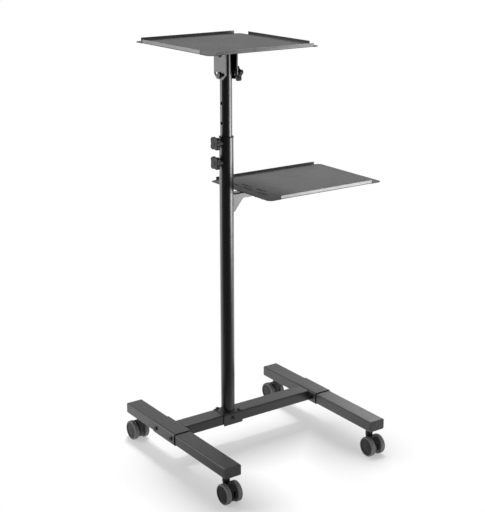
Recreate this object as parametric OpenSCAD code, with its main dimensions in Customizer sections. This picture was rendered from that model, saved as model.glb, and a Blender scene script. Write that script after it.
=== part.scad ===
// Projector trolley: a wheeled H-shaped base, a telescopic mast that stands nearer the
// left leg, a tilting tray on top of the mast and a fixed tray at its right side.
// Millimetres. The floor is Z = 0, X runs along the crossbeam and -Y is the front.

/* [Base] */
// Length of each leg, front to rear.
leg_length = 500; // [440:1:600]
// Distance between the centre lines of the two legs.
leg_spacing = 480; // [400:1:620]
// Width of the leg and crossbeam tube.
beam_width = 50; // [48:1:56]
// Height of the leg and crossbeam tube.
beam_height = 30; // [28:1:36]
// Wall of the leg and crossbeam tube.
beam_wall = 2; // [1.5:0.1:2.5]
// Radius of the long edges of the tube.
beam_radius = 4; // [3:0.1:6]
// How far the crossbeam lies behind the middle of the legs.
beam_set_back = 46; // [0:1:80]
// Length of the sleeve round each leg.
sleeve_length = 110; // [100:1:140]
// Sheet thickness of the sleeves.
sleeve_sheet = 2.5; // [2:0.1:4]
// Distance between the two bolts of a sleeve.
sleeve_bolt_spread = 78; // [68:1:84]
// Thickness of the outer flange of the plug in each leg end.
cap_flange = 3; // [2:0.1:5]
// Depth that each plug reaches into the leg.
cap_depth = 14; // [8:1:16]

/* [Casters] */
// Diameter of the twin wheels.
wheel_diameter = 55; // [53:1:58]
// Width over both wheels of one caster.
caster_width = 47; // [44:1:50]
// Thickness of one wheel.
wheel_thickness = 13.5; // [11:0.5:13.5]
// Diameter of the dark disc in the wheel.
disc_diameter = 47; // [40:1:47]
// Height of the underside of the leg over the floor.
leg_clearance = 77; // [75:1:90]
// Distance of the caster stem from the end of the leg.
stem_inset = 32; // [30:1:45]
// How far the wheel axle lies beside the stem.
caster_trail = 16; // [14:1:20]
// Diameter of the steel stem.
stem_diameter = 10; // [8:0.5:10]
// Diameter of the axle through the wheels.
axle_diameter = 6; // [5:0.5:8]

/* [Mast] */
// Distance of the mast from the middle of the crossbeam.
mast_offset = 55; // [0:1:100]
// Diameter of the lower tube.
lower_tube_diameter = 38; // [37:0.5:40]
// Wall of the lower tube.
lower_tube_wall = 1.5; // [1.2:0.1:1.8]
// Height of the top of the lower tube over the floor.
lower_tube_top = 887; // [884:1:900]
// Diameter of the upper tube.
upper_tube_diameter = 32; // [30:0.5:32]
// Wall of the upper tube.
upper_tube_wall = 1.5; // [1.2:0.1:2.5]
// Height of the top of the upper tube over the floor.
upper_tube_top = 1112; // [1108:1:1112]
// Length of the upper tube.
upper_tube_length = 500; // [480:1:540]
// Spacing of the height holes and of the two lock knobs.
hole_pitch = 52; // [48:1:54]
// Diameter of the height holes.
hole_diameter = 9; // [8.2:0.1:10]
// Height of the upper lock knob over the floor.
knob_height = 871; // [866:1:872]

/* [Saddle] */
// Length of the saddle bracket along the crossbeam.
saddle_length = 62; // [58:1:80]
// Sheet thickness of the saddle bracket.
saddle_sheet = 2.5; // [2:0.1:4]
// How far the sides of the saddle reach below the crossbeam.
saddle_drop = 3; // [1:0.5:6]
// Distance between the saddle screws along the crossbeam.
saddle_screw_x = 46; // [44:1:48]
// Distance between the saddle screws across the crossbeam.
saddle_screw_y = 38; // [36:1:38]

/* [Trays] */
// Sheet thickness of both trays.
tray_sheet = 1.5; // [1.2:0.1:2]
// Height of the lips over the underside of the tray.
lip_height = 10; // [8:0.5:14]
// Outer radius of the bend at the foot of a lip.
lip_bend = 3; // [2.5:0.1:4]
// Radius of the flat corners.
corner_radius = 14; // [8:1:18]
// Width of the top tray along X.
top_tray_width = 334; // [280:1:400]
// Depth of the top tray along Y.
top_tray_depth = 356; // [300:1:420]
// Gap between the top of the upper tube and the underside of the top tray.
top_tray_gap = 14; // [14:0.5:18]
// Flat length at each end of the front and rear lips of the top tray.
top_lip_inset = 20; // [19:1:40]
// Flat length at each end of the side lips of the top tray.
side_lip_inset = 42; // [19:1:60]
// Width of the side tray along X.
side_tray_width = 384; // [320:1:430]
// Depth of the side tray along Y.
side_tray_depth = 280; // [250:1:320]
// Height of the underside of the side tray over the floor.
side_tray_height = 733; // [690:1:770]
// Gap between the lower tube and the side tray.
side_tray_gap = 20; // [16:0.5:30]
// Flat length at each end of the front lip of the side tray.
front_lip_inset = 38; // [19:1:60]
// Flat length at each end of the rear lip of the side tray.
rear_lip_inset = 20; // [19:1:60]
// Length of the slots in the side tray.
slot_length = 40; // [20:1:46]
// Width of the slots in the side tray.
slot_width = 5; // [4:0.5:7]
// Spacing of the slots in a row.
slot_pitch = 66; // [60:1:72]

/* [Side bracket] */
// Sheet thickness of the side tray's bracket.
bracket_sheet = 2.5; // [2:0.1:3]
// Width of the channel that carries the side tray.
arm_width = 22; // [20:1:24]
// Depth of the channel below the tray.
arm_depth = 17; // [14:1:24]
// Distance from the mast to the far end of the channel.
arm_length = 250; // [200:1:280]
// Depth of the gussets where they meet the lower tube.
gusset_depth = 51; // [36:1:70]
// Distance from the mast at which the gussets run out.
gusset_reach = 46; // [34:1:60]
// Length of the flat bar across the channel, along Y.
bar_length = 210; // [150:1:240]
// Width of the flat bar.
bar_width = 50; // [46:1:56]

/* [Tilt bracket] */
// Distance from the top of the upper tube down to the tilt pivot.
pivot_drop = 13; // [11:0.5:13]
// Distance from the pivot down to the clamp bolt in the arc slot.
slot_radius = 51; // [49:1:53]
// Tilt of the top tray to each side.
tilt_limit = 20; // [10:1:20]
// Width of each ear.
ear_width = 54; // [54:1:60]
// Sheet thickness of the tilt bracket.
ear_sheet = 3; // [2:0.1:3.2]
// Diameter of the clamp bolt in the slot.
clamp_bolt = 8; // [6:0.5:8]
// Diameter of the pivot bolt.
pivot_bolt = 6; // [5:0.5:8]

/* [Knobs] */
// Diameter of the mast lock knobs over their lobes.
lock_knob_diameter = 40; // [36:1:42]
// Thickness of a mast lock knob.
lock_knob_thickness = 10; // [8:0.5:12]
// Diameter of the screw of a mast lock knob.
lock_screw = 8; // [6:0.5:8]
// Length of the threaded boss of a mast lock knob.
boss_length = 8.5; // [8:0.5:13]
// Diameter of the threaded boss of a mast lock knob.
boss_diameter = 20; // [16:0.5:22]
// Diameter of the tilt clamp knob over its lobes.
tilt_knob_diameter = 40; // [34:1:44]
// Thickness of the tilt clamp knob.
tilt_knob_thickness = 12; // [10:0.5:14]
// Length of the neck between the ear and the tilt clamp knob.
tilt_knob_neck = 11; // [4:0.5:14]

/* [Hidden] */
$fn = 64;
run_gap = 0.3;
pin_gap = 0.1;
screw_gap = 0.4;
seat_gap = 0.1;
base_screw = 6;
base_screw_head = 11;
base_screw_head_height = 3;
socket_across = 5;
nut_reach = 6;
bush_flange = 3;
bush_depth = 44;
bush_rim = 1;
lock_knob_neck = 2;
lock_knob_turn = 45;
lock_knob_core = 0.76;
lock_knob_lobe = 0.2;
tilt_knob_turn = 20;
tilt_knob_core = 0.64;
tilt_knob_lobe = 0.16;
knob_edge = 1;
knob_hub = 0.45;
clamp_washer = 17;
clamp_washer_height = 1.2;
clamp_head = 15;
clamp_head_height = 5;
tray_screw = 5;
tray_screw_head = 9;
tray_screw_head_height = 2.5;
tray_screw_y = 20;
ear_chamfer_width = 13;
ear_chamfer_height = 12;
ear_margin = 11;
ear_bend = 4;
collar_diameter = 20;
collar_height = 4;
stem_reach = 24;
stem_inside = 10;
wheel_gap = 1;
disc_depth = 5;
disc_bore_depth = 3.5;
disc_dish = 1.2;
disc_rim = 3;
tyre_round = 3;
hood_step = 2.5;
hood_height = 13;
body_step = 4;
neck_step = 3;
groove_width = 5;
groove_depth = 8;
groove_low = -6;
groove_high = 11;
cap_chamfer = 1;
cap_wall = 2.5;
cap_inner_radius = 1;
slot_from_edge = [33, 51];
slot_shift = 4;
bar_inset = 8;
bar_screw_inset = 14;
bar_screw_y = [-92, -62, 62, 92];
arm_screw_x = [112, 190];
hole_rows = [-2:1:4];

sleeve_half = beam_width / 2 + sleeve_sheet;
beam_length = leg_spacing - 2 * sleeve_half;
base_reach = leg_spacing / 2 + sleeve_half + base_screw_head_height;
side_left = lower_tube_diameter / 2 + side_tray_gap;
low_x = mast_offset - base_reach;
high_x = max(mast_offset + base_reach, side_left + side_tray_width);
mast_x = -(low_x + high_x) / 2;
mast_y = beam_set_back;
base_x = mast_x + mast_offset;
left_leg_x = base_x - leg_spacing / 2;
right_leg_x = base_x + leg_spacing / 2;
leg_top = leg_clearance + beam_height;
leg_mid_z = leg_clearance + beam_height / 2;
stem_y = leg_length / 2 - stem_inset;
lower_tube_bottom = leg_top + saddle_sheet;
lower_tube_radius = lower_tube_diameter / 2;
lower_tube_bore = lower_tube_diameter - 2 * lower_tube_wall;
upper_tube_radius = upper_tube_diameter / 2;
upper_tube_bore = upper_tube_diameter - 2 * upper_tube_wall;
upper_tube_bottom = upper_tube_top - upper_tube_length;
top_tray_height = upper_tube_top + top_tray_gap;
pivot_height = upper_tube_top - pivot_drop;
lock_heights = [knob_height, knob_height - hole_pitch];
clamp_height = pivot_height - slot_radius;
ear_inner = upper_tube_radius + run_gap;
ear_outer = ear_inner + ear_sheet;
head_seat = ear_outer + run_gap;
lock_knob_x = mast_x - lower_tube_radius - boss_length - lock_knob_neck;
lock_screw_length = mast_x - upper_tube_radius - run_gap - lock_knob_x;
tilt_knob_x = mast_x + head_seat + tilt_knob_neck;
wheel_radius = wheel_diameter / 2;
disc_radius = disc_diameter / 2 - seat_gap;
wheel_inner = caster_width / 2 - wheel_thickness;
axle_reach = caster_width / 2 - disc_depth + disc_bore_depth - run_gap;
housing_half = wheel_inner - wheel_gap;
housing_radius = wheel_radius - body_step;
housing_top = leg_clearance - collar_height - run_gap;
side_tray_x = mast_x + side_left;

// Colours

module powder_coat() {
  color([0.2, 0.2, 0.21])
    children();
}

module black_plastic() {
  color([0.1, 0.1, 0.11])
    children();
}

module black_steel() {
  color([0.14, 0.14, 0.15])
    children();
}

// Shapes that several pieces use

// A flat rectangle with rounded corners, centred.
module rounded(w, h, r) {
  union() {
    square([w - 2 * r, h], center = true);
    square([w, h - 2 * r], center = true);
    for (sx = [-1, 1]) {
      for (sy = [-1, 1]) {
        translate([sx * (w / 2 - r), sy * (h / 2 - r)])
          circle(r = r);
      }
    }
  }
}

// A flat profile drawn across the leg and pushed along Y, centred.
module along_y(len) {
  rotate([90, 0, 0])
    linear_extrude(height = len, center = true)
      children();
}

// A flat profile in the plane across X, pushed along X, centred.
module along_x(len) {
  rotate([90, 0, 90])
    linear_extrude(height = len, center = true)
      children();
}

module rod_x(d, len) {
  rotate([0, 90, 0])
    cylinder(d = d, h = len, center = true);
}

// The section of the leg and crossbeam tube.
module beam_section() {
  difference() {
    rounded(beam_width, beam_height, beam_radius);
    rounded(beam_width - 2 * beam_wall, beam_height - 2 * beam_wall, beam_radius - beam_wall / 2);
  }
}

// A round screw head that stands on Z = 0, with a hexagon socket.
module socket_head(d, h) {
  difference() {
    cylinder(d = d, h = h);
    translate([0, 0, h / 2])
      cylinder(d = socket_across, h = h, $fn = 6);
  }
}

// Base

module leg(x) {
  powder_coat()
    difference() {
      translate([x, 0, leg_mid_z])
        along_y(leg_length - 2 * cap_flange)
          beam_section();
      for (sy = [-1, 1]) {
        translate([x, sy * stem_y, leg_clearance - 1])
          cylinder(d = stem_diameter + 2 * pin_gap, h = beam_wall + 2);
        translate([x, beam_set_back + sy * sleeve_bolt_spread / 2, leg_mid_z])
          rod_x(base_screw + screw_gap, beam_width + 2);
      }
    }
}

module left_leg() {
  leg(left_leg_x);
}

module right_leg() {
  leg(right_leg_x);
}

// A hollow plug with a chamfered flange, for the end of a leg that points along -Z here.
module end_cap() {
  linear_extrude(height = cap_flange - cap_chamfer)
    rounded(beam_width, beam_height, beam_radius);
  translate([0, 0, cap_flange - cap_chamfer])
    linear_extrude(height = cap_chamfer)
      rounded(beam_width - cap_chamfer, beam_height - cap_chamfer, beam_radius - cap_chamfer / 2);
  translate([0, 0, -cap_depth])
    linear_extrude(height = cap_depth)
      difference() {
        rounded(beam_width - 2 * beam_wall - 2 * seat_gap, beam_height - 2 * beam_wall - 2 * seat_gap,
          beam_radius - beam_wall / 2);
        rounded(beam_width - 2 * beam_wall - 2 * cap_wall, beam_height - 2 * beam_wall - 2 * cap_wall,
          cap_inner_radius);
      }
}

module leg_end_caps() {
  black_plastic()
    for (x = [left_leg_x, right_leg_x]) {
      for (sy = [-1, 1]) {
        translate([x, sy * (leg_length / 2 - cap_flange), leg_mid_z])
          rotate([-90 * sy, 0, 0])
            end_cap();
      }
    }
}

module sleeve(x) {
  powder_coat()
    difference() {
      translate([x, beam_set_back, leg_mid_z])
        along_y(sleeve_length)
          difference() {
            rounded(2 * sleeve_half, beam_height + 2 * sleeve_sheet, beam_radius + sleeve_sheet);
            rounded(beam_width + 2 * seat_gap, beam_height + 2 * seat_gap, beam_radius + seat_gap);
          }
      for (sy = [-1, 1]) {
        translate([x, beam_set_back + sy * sleeve_bolt_spread / 2, leg_mid_z])
          rod_x(base_screw + screw_gap, 2 * sleeve_half + 2);
      }
    }
}

module left_sleeve() {
  sleeve(left_leg_x);
}

module right_sleeve() {
  sleeve(right_leg_x);
}

module sleeve_bolts() {
  black_steel()
    for (x = [left_leg_x, right_leg_x]) {
      for (sy = [-1, 1]) {
        translate([x, beam_set_back + sy * sleeve_bolt_spread / 2, leg_mid_z]) {
          rod_x(base_screw, 2 * sleeve_half);
          for (sx = [-1, 1]) {
            translate([sx * sleeve_half, 0, 0])
              rotate([0, 90 * sx, 0])
                socket_head(base_screw_head, base_screw_head_height);
          }
        }
      }
    }
}

// Moves its children to the four saddle screws.
module at_saddle_screws() {
  for (sx = [-1, 1]) {
    for (sy = [-1, 1]) {
      translate([mast_x + sx * saddle_screw_x / 2, mast_y + sy * saddle_screw_y / 2, leg_top])
        children();
    }
  }
}

// The holes of the saddle screws and of the bolt through the saddle's sides.
module saddle_holes() {
  at_saddle_screws()
    cylinder(d = base_screw + screw_gap, h = 3 * (beam_wall + saddle_sheet), center = true);
  translate([mast_x, mast_y, leg_mid_z])
    rotate([90, 0, 0])
      cylinder(d = base_screw + screw_gap, h = beam_width + 4 * saddle_sheet, center = true);
}

module crossbeam() {
  powder_coat()
    difference() {
      translate([base_x, beam_set_back, leg_mid_z])
        along_x(beam_length)
          beam_section();
      saddle_holes();
    }
}

module saddle_bracket() {
  powder_coat()
    difference() {
      translate([mast_x, mast_y, leg_clearance - saddle_drop])
        along_x(saddle_length)
          saddle_section();
      saddle_holes();
    }
}

// The inverted channel of the saddle, standing on Y = 0.
module saddle_section() {
  outer = beam_width + 2 * saddle_sheet;
  height = beam_height + saddle_drop + saddle_sheet;
  difference() {
    union() {
      translate([-outer / 2, 0])
        square([outer, height - beam_radius - saddle_sheet]);
      translate([0, height / 2])
        rounded(outer, height, beam_radius + saddle_sheet);
    }
    union() {
      translate([-beam_width / 2 - seat_gap, -1])
        square([beam_width + 2 * seat_gap, height - saddle_sheet - beam_radius + 1]);
      translate([0, height - saddle_sheet - beam_height / 2])
        rounded(beam_width + 2 * seat_gap, beam_height, beam_radius);
    }
  }
}

module saddle_bolts() {
  black_steel() {
    at_saddle_screws() {
      translate([0, 0, -beam_wall - nut_reach])
        cylinder(d = base_screw, h = beam_wall + nut_reach + saddle_sheet);
      translate([0, 0, saddle_sheet])
        socket_head(base_screw_head - 1, base_screw_head_height);
    }
    translate([mast_x, mast_y, leg_mid_z])
      rotate([90, 0, 0]) {
        cylinder(d = base_screw, h = beam_width + 2 * saddle_sheet, center = true);
        for (s = [0, 1]) {
          rotate([180 * s, 0, 0])
            translate([0, 0, beam_width / 2 + saddle_sheet])
              socket_head(base_screw_head, base_screw_head_height);
        }
      }
  }
}

// The stem in each leg end, with the collar that the leg stands on.
module caster_stems() {
  color([0.6, 0.6, 0.6])
    for (x = [left_leg_x, right_leg_x]) {
      for (sy = [-1, 1]) {
        translate([x, sy * stem_y, leg_clearance]) {
          translate([0, 0, -stem_reach])
            cylinder(d = stem_diameter, h = stem_reach + beam_wall + stem_inside);
          translate([0, 0, -collar_height])
            cylinder(d = collar_diameter, h = collar_height, $fn = 6);
        }
      }
    }
}

// Mast

module lower_tube() {
  powder_coat()
    difference() {
      translate([mast_x, mast_y, lower_tube_bottom])
        cylinder(d = lower_tube_diameter, h = lower_tube_top - bush_flange - lower_tube_bottom);
      translate([mast_x, mast_y, lower_tube_bottom - 1])
        cylinder(d = lower_tube_bore, h = lower_tube_top - lower_tube_bottom);
      lock_screw_holes();
    }
}

// The holes that the lock screws go through on the left of the mast.
module lock_screw_holes() {
  for (z = lock_heights) {
    translate([mast_x - lower_tube_radius, mast_y, z])
      rod_x(lock_screw + screw_gap, lower_tube_diameter - 2);
  }
}

module tube_bush() {
  black_plastic()
    difference() {
      translate([mast_x, mast_y, lower_tube_top]) {
        translate([0, 0, -bush_flange])
          cylinder(d = lower_tube_diameter + bush_rim, h = bush_flange);
        translate([0, 0, -bush_depth])
          cylinder(d = lower_tube_bore - 2 * seat_gap, h = bush_depth - bush_flange);
      }
      translate([mast_x, mast_y, lower_tube_top - bush_depth - 1])
        cylinder(d = upper_tube_diameter + 2 * run_gap, h = bush_depth + 2);
      lock_screw_holes();
    }
}

// The threaded bosses of the lock knobs, saddled on the left of the lower tube.
module knob_bosses() {
  black_plastic()
    for (z = lock_heights) {
      difference() {
        translate([mast_x - lower_tube_radius, mast_y, z])
          rod_x(boss_diameter, 2 * boss_length);
        translate([mast_x, mast_y, z])
          cylinder(d = lower_tube_diameter, h = 2 * boss_diameter, center = true);
        translate([mast_x, mast_y - boss_diameter, z - boss_diameter])
          cube([lower_tube_diameter, 2 * boss_diameter, 2 * boss_diameter]);
        translate([mast_x - lower_tube_radius, mast_y, z])
          rod_x(lock_screw + 2 * pin_gap, 2 * boss_length + 2);
      }
    }
}

// A hand knob with four lobes, its back at Z = 0 and its neck and screw along +Z. The core
// and the lobes are given as parts of the diameter d.
module lobed_knob(d, t, core, lobe, neck, screw_d, screw_len) {
  translate([0, 0, -t])
    knob_slice(d, core, lobe, knob_edge, knob_edge);
  translate([0, 0, knob_edge - t])
    knob_slice(d, core, lobe, 0, t - 2 * knob_edge);
  translate([0, 0, -knob_edge])
    knob_slice(d, core, lobe, knob_edge, knob_edge);
  translate([0, 0, -knob_edge / 2])
    cylinder(d = d * knob_hub, h = neck + knob_edge / 2);
  if (screw_len > neck) {
    cylinder(d = screw_d, h = screw_len);
  }
}

// One layer of the knob, drawn in by the given amount.
module knob_slice(d, core, lobe, inset, h) {
  linear_extrude(height = h)
    union() {
      circle(d = d * core - 2 * inset);
      for (a = [0:90:270]) {
        rotate([0, 0, a])
          translate([d / 2 - d * lobe, 0])
            circle(r = d * lobe - inset);
      }
    }
}

module lock_knob(z) {
  black_plastic()
    translate([lock_knob_x, mast_y, z])
      rotate([0, 90, 0])
        rotate([0, 0, lock_knob_turn])
          lobed_knob(lock_knob_diameter, lock_knob_thickness, lock_knob_core, lock_knob_lobe,
            lock_knob_neck - run_gap, lock_screw, lock_screw_length);
}

module upper_lock_knob() {
  lock_knob(lock_heights[0]);
}

module lower_lock_knob() {
  lock_knob(lock_heights[1]);
}

module upper_tube() {
  powder_coat()
    difference() {
      translate([mast_x, mast_y, upper_tube_bottom])
        cylinder(d = upper_tube_diameter, h = upper_tube_length);
      translate([mast_x, mast_y, upper_tube_bottom - 1])
        cylinder(d = upper_tube_bore, h = upper_tube_length + 2);
      for (i = hole_rows) {
        translate([mast_x - upper_tube_radius, mast_y, knob_height - i * hole_pitch])
          rod_x(hole_diameter, upper_tube_diameter - 4);
      }
      translate([mast_x, mast_y, clamp_height])
        rod_x(clamp_bolt + 2 * pin_gap, upper_tube_diameter + 2);
      translate([mast_x, mast_y, pivot_height])
        rod_x(pivot_bolt + 2 * pin_gap, upper_tube_diameter + 2);
    }
}

// Side tray

// A tray of folded sheet with its underside at Z = 0 and flat rounded corners. Each lip
// leaves a flat length at both its ends; a negative length means no lip on that side.
module tray(w, d, front, rear, sides) {
  difference() {
    linear_extrude(height = tray_sheet)
      rounded(w, d, corner_radius);
    tray_edges(w, d, front, rear, sides)
      lip_room();
  }
  tray_edges(w, d, front, rear, sides)
    lip();
}

// Puts a lip, or the room for one, on each side that has one.
module tray_edges(w, d, front, rear, sides) {
  if (front >= 0) {
    translate([0, -d / 2, 0])
      with_lip(w - 2 * front)
        children();
  }
  if (rear >= 0) {
    translate([0, d / 2, 0])
      rotate([0, 0, 180])
        with_lip(w - 2 * rear)
          children();
  }
  if (sides >= 0) {
    for (s = [-1, 1]) {
      translate([s * w / 2, 0, 0])
        rotate([0, 0, 90 * s])
          with_lip(d - 2 * sides)
            children();
    }
  }
}

// Hands the length of the lip down to its children.
module with_lip(len) {
  $lip_length = len;
  children();
}

module lip_room() {
  translate([-$lip_length / 2, -1, -1])
    cube([$lip_length, lip_bend + 1, tray_sheet + 2]);
}

// A lip along X whose outer face is at Y = 0, with the bend at its foot.
module lip() {
  rotate([90, 0, 90])
    linear_extrude(height = $lip_length, center = true)
      union() {
        translate([0, lip_bend])
          square([tray_sheet, lip_height - lip_bend]);
        intersection() {
          translate([lip_bend, lip_bend])
            difference() {
              circle(r = lip_bend);
              circle(r = lip_bend - tray_sheet);
            }
          square([lip_bend, lip_bend]);
        }
      }
}

// The two rows of slots near the left edge of the side tray.
module side_tray_slots() {
  for (k = [0, 1]) {
    for (j = [-1 + k / 2:1:1 - k / 2]) {
      translate([slot_from_edge[k] - side_tray_width / 2, j * slot_pitch + slot_shift, 0])
        linear_extrude(height = 4 * tray_sheet, center = true)
          slot_outline();
    }
  }
}

// A slot along Y with round ends, centred.
module slot_outline() {
  square([slot_width, slot_length - slot_width], center = true);
  for (s = [-1, 1]) {
    translate([0, s * (slot_length - slot_width) / 2])
      circle(d = slot_width);
  }
}

module side_tray() {
  powder_coat()
    difference() {
      translate([side_tray_x + side_tray_width / 2, mast_y, side_tray_height])
        difference() {
          tray(side_tray_width, side_tray_depth, front_lip_inset, rear_lip_inset, -1);
          side_tray_slots();
        }
      at_bracket_screws()
        cylinder(d = tray_screw + screw_gap, h = 4 * tray_sheet, center = true);
    }
}

// Moves its children to the screws that hold the side tray on its bracket.
module at_bracket_screws() {
  for (y = bar_screw_y) {
    translate([side_tray_x + bar_screw_inset, mast_y + y, side_tray_height])
      children();
  }
  for (x = arm_screw_x) {
    translate([mast_x + x, mast_y, side_tray_height])
      children();
  }
}

// A folded channel under the tray with a wide flat bar across it. The channel's cheeks run on
// to the lower tube, where they are deeper and seat on its round side.
module side_tray_bracket() {
  powder_coat()
    difference() {
      translate([mast_x, mast_y, side_tray_height]) {
        intersection() {
          translate([arm_length / 2, 0, 0])
            along_x(arm_length)
              arm_section();
          rotate([90, 0, 0])
            linear_extrude(height = arm_width + 2, center = true)
              arm_outline();
        }
        translate([side_left + bar_inset + bar_width / 2, 0, -bracket_sheet])
          linear_extrude(height = bracket_sheet)
            rounded(bar_width, bar_length, bracket_sheet);
      }
      translate([mast_x, mast_y, side_tray_height])
        cylinder(d = lower_tube_diameter + 2 * seat_gap, h = 4 * gusset_depth, center = true);
      at_bracket_screws()
        cylinder(d = tray_screw + screw_gap, h = 4 * bracket_sheet, center = true);
    }
}

// The channel across its length, open below, with bent upper edges.
module arm_section() {
  difference() {
    translate([0, -gusset_depth])
      rounded(arm_width, 2 * gusset_depth, 2 * bracket_sheet);
    translate([0, -gusset_depth - bracket_sheet])
      rounded(arm_width - 2 * bracket_sheet, 2 * gusset_depth, bracket_sheet);
  }
}

// The side of the channel: deep at the mast, then level, and drawn up at the far end.
module arm_outline() {
  polygon([[0, 0], [0, -gusset_depth], [lower_tube_radius, -gusset_depth], [gusset_reach, -arm_depth],
    [arm_length - 3 * arm_depth, -arm_depth], [arm_length, -2 * bracket_sheet], [arm_length, 0]]);
}

module side_tray_screws() {
  black_steel() {
    at_bracket_screws() {
      translate([0, 0, -bracket_sheet])
        rotate([180, 0, 0])
          socket_head(tray_screw_head, tray_screw_head_height);
      translate([0, 0, -bracket_sheet])
        cylinder(d = tray_screw, h = bracket_sheet + tray_sheet);
    }
  }
}

// Top tray

module pivot_bolt_set() {
  black_steel()
    translate([mast_x, mast_y, pivot_height]) {
      rod_x(pivot_bolt, 2 * head_seat);
      for (sx = [-1, 1]) {
        translate([sx * head_seat, 0, 0])
          rotate([0, 90 * sx, 0])
            socket_head(base_screw_head, base_screw_head_height);
      }
    }
}

// The bolt through the arc slots, with a hexagon head on the left.
module tilt_clamp_bolt() {
  black_steel()
    translate([mast_x, mast_y, clamp_height]) {
      rod_x(clamp_bolt, 2 * head_seat);
      translate([-head_seat, 0, 0])
        rotate([0, -90, 0]) {
          cylinder(d = clamp_washer, h = clamp_washer_height);
          cylinder(d = clamp_head, h = clamp_head_height, $fn = 6);
        }
    }
}

module tilt_knob() {
  black_plastic()
    translate([tilt_knob_x, mast_y, clamp_height])
      rotate([0, -90, 0])
        rotate([0, 0, tilt_knob_turn])
          lobed_knob(tilt_knob_diameter, tilt_knob_thickness, tilt_knob_core, tilt_knob_lobe,
            tilt_knob_neck - run_gap, clamp_bolt, 0);
}

module top_tray() {
  powder_coat()
    difference() {
      translate([mast_x, mast_y, top_tray_height])
        tray(top_tray_width, top_tray_depth, top_lip_inset, top_lip_inset, side_lip_inset);
      at_top_screws()
        cylinder(d = tray_screw + screw_gap, h = 4 * tray_sheet, center = true);
    }
}

// Moves its children to the screws between the top tray and the tilt bracket.
module at_top_screws() {
  for (sy = [-1, 1]) {
    translate([mast_x, mast_y + sy * tray_screw_y, top_tray_height])
      children();
  }
}

// The inverted channel under the top tray: an ear on each side of the upper tube.
module tilt_bracket() {
  powder_coat()
    difference() {
      translate([mast_x, mast_y, top_tray_height])
        intersection() {
          along_y(ear_width)
            channel_section(2 * ear_outer, top_tray_height - clamp_height + ear_margin);
          along_x(2 * ear_outer)
            ear_outline();
        }
      at_top_screws()
        cylinder(d = tray_screw + screw_gap, h = 4 * ear_sheet, center = true);
      translate([mast_x, mast_y, pivot_height])
        along_x(2 * ear_outer + 2) {
          circle(d = pivot_bolt + 2 * pin_gap);
          arc_slot(slot_radius, clamp_bolt / 2 + run_gap, tilt_limit);
        }
    }
}

// An inverted channel hanging from Y = 0, with bends of the given outer radius.
module channel_section(w, h) {
  difference() {
    union() {
      translate([0, -h / 2])
        rounded(w, h, ear_bend);
      translate([-w / 2, -h])
        square([w, h - ear_bend]);
    }
    union() {
      translate([0, -ear_sheet - h / 2])
        rounded(w - 2 * ear_sheet, h, ear_bend - ear_sheet);
      translate([-w / 2 + ear_sheet, -h - 1])
        square([w - 2 * ear_sheet, h - 2 * ear_bend]);
    }
  }
}

// The outline of an ear, hanging from Y = 0 with chamfered lower corners.
module ear_outline() {
  low = clamp_height - ear_margin - top_tray_height;
  side = ear_width / 2;
  polygon([[-side, 0], [-side, low + ear_chamfer_height], [ear_chamfer_width - side, low],
    [side - ear_chamfer_width, low], [side, low + ear_chamfer_height], [side, 0]]);
}

// An arc slot below the pivot, with round ends.
module arc_slot(r, half, limit) {
  intersection() {
    difference() {
      circle(r = r + half, $fn = 128);
      circle(r = r - half, $fn = 128);
    }
    polygon([[0, 0], [-2 * r * sin(limit), -2 * r * cos(limit)], [0, -3 * r],
      [2 * r * sin(limit), -2 * r * cos(limit)]]);
  }
  for (s = [-1, 1]) {
    translate([s * r * sin(limit), -r * cos(limit)])
      circle(r = half);
  }
}

module top_tray_screws() {
  black_steel()
    at_top_screws() {
      translate([0, 0, -ear_sheet])
        rotate([180, 0, 0])
          socket_head(tray_screw_head, tray_screw_head_height);
      translate([0, 0, -ear_sheet])
        cylinder(d = tray_screw, h = ear_sheet + tray_sheet);
    }
}

// Casters

// The dark body between the two wheels: a round block with a hood over it, a groove below
// the hood, a neck that holds the stem, and the axle. The end is -1 for the front and 1 for
// the rear.
module caster_housing(x, end) {
  black_plastic()
    translate([x, end * stem_y, 0])
      difference() {
        union() {
          translate([0, end * caster_trail, wheel_radius]) {
            rod_x(2 * housing_radius, 2 * housing_half);
            housing_hood();
            rod_x(axle_diameter, 2 * axle_reach);
          }
          translate([0, 0, wheel_radius])
            cylinder(r = housing_half, h = housing_top - wheel_radius);
          translate([0, 0, wheel_radius + housing_radius + neck_step])
            cylinder(d = collar_diameter, h = housing_top - wheel_radius - housing_radius - neck_step);
        }
        translate([0, end * caster_trail, wheel_radius])
          housing_groove(end);
        translate([0, 0, leg_clearance - stem_reach - run_gap])
          cylinder(d = stem_diameter + 2 * pin_gap, h = stem_reach + 2);
      }
}

// The hood stands out over the upper part of the block, round the wheel axle.
module housing_hood() {
  intersection() {
    rod_x(2 * (housing_radius + hood_step), 2 * housing_half);
    translate([-housing_half - 1, -wheel_radius, hood_height])
      cube([2 * housing_half + 2, wheel_diameter, wheel_radius]);
  }
}

// The groove in the middle of the block's free side, round the wheel axle.
module housing_groove(end) {
  intersection() {
    difference() {
      rod_x(2 * housing_radius + 2, groove_width);
      rod_x(2 * (housing_radius - groove_depth), 2 * groove_width);
    }
    translate([0, end * wheel_radius, (groove_low + groove_high) / 2])
      cube([2 * groove_width, wheel_diameter, groove_high - groove_low], center = true);
  }
}

// Turns a piece drawn along +Z to face out of a caster, on the given side of the leg.
module at_wheel(x, end, side) {
  translate([x, end * (stem_y + caster_trail), wheel_radius])
    rotate([0, side * 90, 0])
      translate([0, 0, wheel_inner])
        children();
}

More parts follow.
